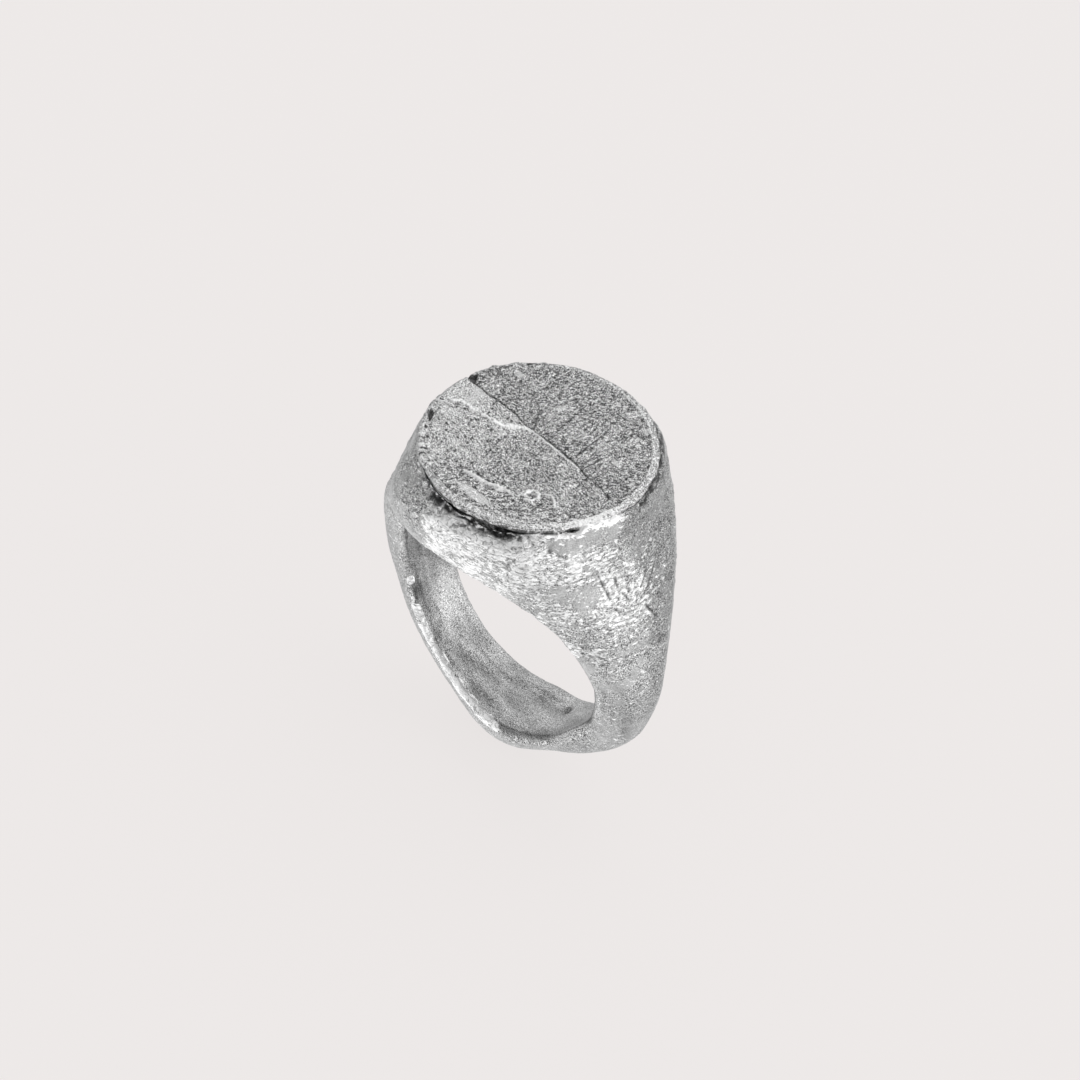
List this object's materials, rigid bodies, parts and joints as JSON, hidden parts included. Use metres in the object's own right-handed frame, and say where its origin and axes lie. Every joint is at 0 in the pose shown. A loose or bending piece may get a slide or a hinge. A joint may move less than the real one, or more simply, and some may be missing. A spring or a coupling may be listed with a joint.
{
  "type": "signet ring",
  "caption": "Chunky rough-cast signet ring with a round flat face that carries a leaf impression, on a tapered shank.",
  "frame": {"origin": "centre of the finger hole", "axes": "+Z points out of the face, the finger lies along Y, and the shoulders stand at +X and -X"},
  "size_m": [0.0226, 0.0152, 0.0244],
  "materials": {
    "cast_silver": "rough as-cast silver, lightly tumbled, darker in the pits",
    "leaf_silver": "satin cast silver with fine leaf relief",
    "dark_solder": "rough oxidised solder"
  },
  "bodies": {
    "root": {"ring_body": "cast_silver", "solder_seam": "dark_solder", "face_plate": "leaf_silver"}
  },
  "joints": []
}
